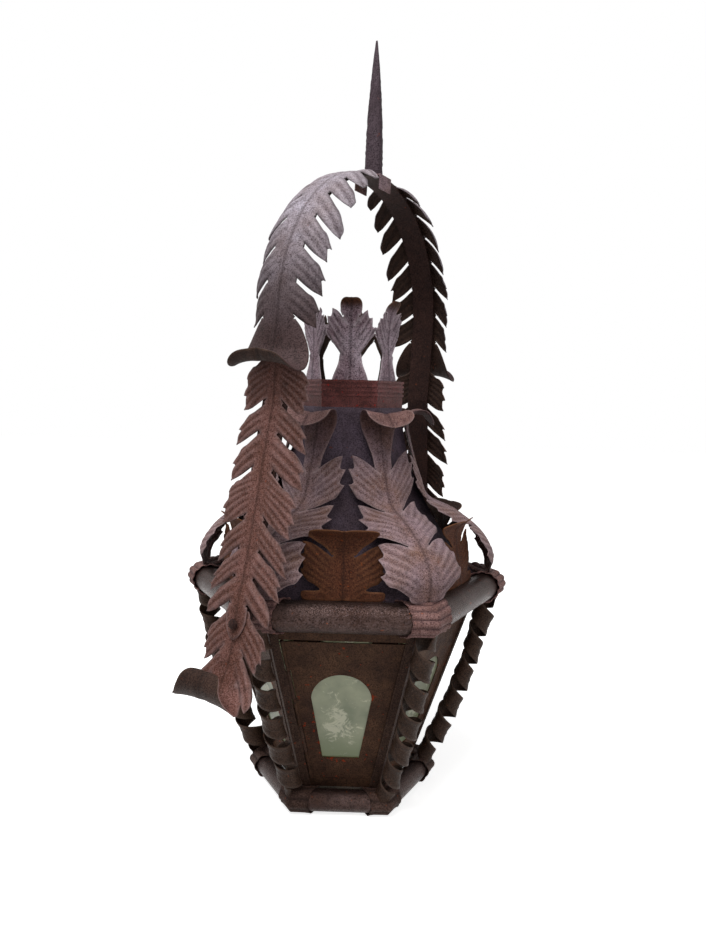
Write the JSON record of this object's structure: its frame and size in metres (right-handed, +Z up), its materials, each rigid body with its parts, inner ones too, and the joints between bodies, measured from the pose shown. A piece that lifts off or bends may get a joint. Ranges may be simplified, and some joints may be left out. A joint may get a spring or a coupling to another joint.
{
  "type": "hexagonal hanging lantern",
  "caption": "Flared hexagonal sheet-iron lantern with arched glass windows, a hinged door, leaf-clad roof, twisted corner ribbons and a swinging leaf-clad bail with a spike.",
  "frame": {"origin": "on the lantern's upright axis, at the level of the surface it stands on", "axes": "+Z up, -Y out of the face that carries the door, +X to the right of that face seen from in front"},
  "size_m": [0.3958, 0.475, 0.881],
  "materials": {
    "panel_iron": "brown rusted sheet iron with specks of old red paint",
    "rail_iron": "rolled sheet iron, brown with a worn grey sheen",
    "wrap_iron": "hammered sheet iron, pinkish brown and ridged",
    "roof_iron": "dark slate-grey sheet iron",
    "collar_iron": "ridged sheet iron with remains of red paint",
    "roof_leaf_iron": "embossed sheet-iron leaf, ochre brown and grey",
    "bail_leaf_iron": "embossed sheet-iron leaf, lavender grey and red brown",
    "ribbon_iron": "twisted strip iron, brown",
    "forged_iron": "forged flat iron, brown with a fine grain",
    "candle_tin": "dull tinned sheet",
    "glass": "old pale sage-green glass, stained"
  },
  "bodies": {
    "lantern": {"bail_rivets": "forged_iron", "candle_cup": "candle_tin", "collar": "collar_iron", "corner_leaf_1": "roof_leaf_iron", "corner_leaf_2": "roof_leaf_iron", "corner_leaf_3": "roof_leaf_iron", "corner_leaf_4": "roof_leaf_iron", "corner_leaf_5": "roof_leaf_iron", "corner_leaf_6": "roof_leaf_iron", "corner_posts": "panel_iron", "corner_ribbon_1": "ribbon_iron", "corner_ribbon_2": "ribbon_iron", "corner_ribbon_3": "ribbon_iron", "corner_ribbon_4": "ribbon_iron", "corner_ribbon_5": "ribbon_iron", "corner_ribbon_6": "ribbon_iron", "crown_leaf_1": "roof_leaf_iron", "crown_leaf_2": "roof_leaf_iron", "crown_leaf_3": "roof_leaf_iron", "crown_leaf_4": "roof_leaf_iron", "crown_leaf_5": "roof_leaf_iron", "crown_leaf_6": "roof_leaf_iron", "door_stop": "panel_iron", "drip_pan": "candle_tin", "face_leaf_1": "roof_leaf_iron", "face_leaf_2": "roof_leaf_iron", "face_leaf_3": "roof_leaf_iron", "face_leaf_4": "roof_leaf_iron", "face_leaf_5": "roof_leaf_iron", "face_leaf_6": "roof_leaf_iron", "floor_plate": "panel_iron", "foot_corner_wraps": "wrap_iron", "foot_rail": "rail_iron", "front_face_strips": "panel_iron", "glass_back": "glass", "glass_back_left": "glass", "glass_back_right": "glass", "glass_front_left": "glass", "glass_front_right": "glass", "head_corner_wraps": "wrap_iron", "head_rail": "rail_iron", "hinge_pin": "panel_iron", "hinge_post": "panel_iron", "panel_back": "panel_iron", "panel_back_left": "panel_iron", "panel_back_right": "panel_iron", "panel_front_left": "panel_iron", "panel_front_right": "panel_iron", "roof": "roof_iron"},
    "door": {"door_panel": "panel_iron", "door_glass": "glass"},
    "bail": {"bail_bar": "forged_iron", "bail_upper_leaf_far": "bail_leaf_iron", "bail_upper_leaf_near": "bail_leaf_iron", "bail_lower_leaf_far": "bail_leaf_iron", "bail_lower_leaf_near": "bail_leaf_iron", "bail_tip_leaf_far": "bail_leaf_iron", "bail_tip_leaf_near": "bail_leaf_iron", "spike_saddle": "forged_iron", "spike": "forged_iron"}
  },
  "joints": [
    {"name": "bail_swing", "type": "hinge", "parent": "lantern", "child": "bail", "pos_m": [0, 0, 0.25238], "axis": [0.5, 0.866, 0], "range_deg": [-85, 80]},
    {"name": "door_hinge", "type": "hinge", "parent": "lantern", "child": "door", "pos_m": [-0.03373, -0.07887, 0.0358], "axis": [0.1609, 0.2787, -0.9468], "range_deg": [0, 85]}
  ]
}
